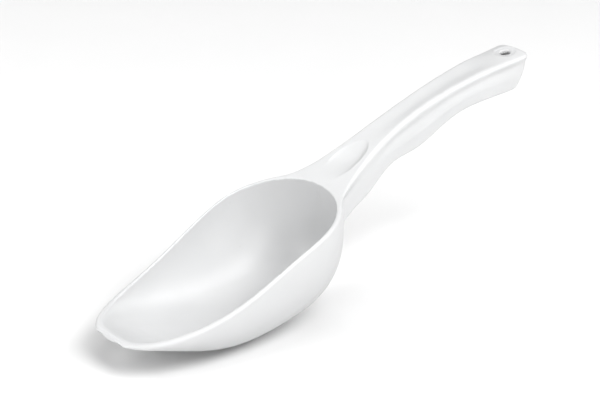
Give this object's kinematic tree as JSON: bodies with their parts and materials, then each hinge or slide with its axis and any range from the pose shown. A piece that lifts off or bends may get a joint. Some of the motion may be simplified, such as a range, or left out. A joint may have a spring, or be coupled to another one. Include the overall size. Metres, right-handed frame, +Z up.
{
  "type": "ice scoop",
  "caption": "Deep oval plastic scoop with a flat lip around the bowl, and an arched, open-bottomed handle with a thumb recess, waved grip and hang hole.",
  "frame": {"origin": "on the surface that the bowl rests on, below the middle of the scoop's length and width", "axes": "+X from the bowl's tip to the handle's end, +Y across the scoop, +Z up"},
  "size_m": [0.25, 0.0746, 0.1067],
  "materials": {
    "bowl_plastic": "smooth semi-gloss moulded white",
    "handle_plastic": "smooth semi-gloss moulded white"
  },
  "bodies": {
    "root": {"bowl": "bowl_plastic", "handle": "handle_plastic"}
  },
  "joints": []
}
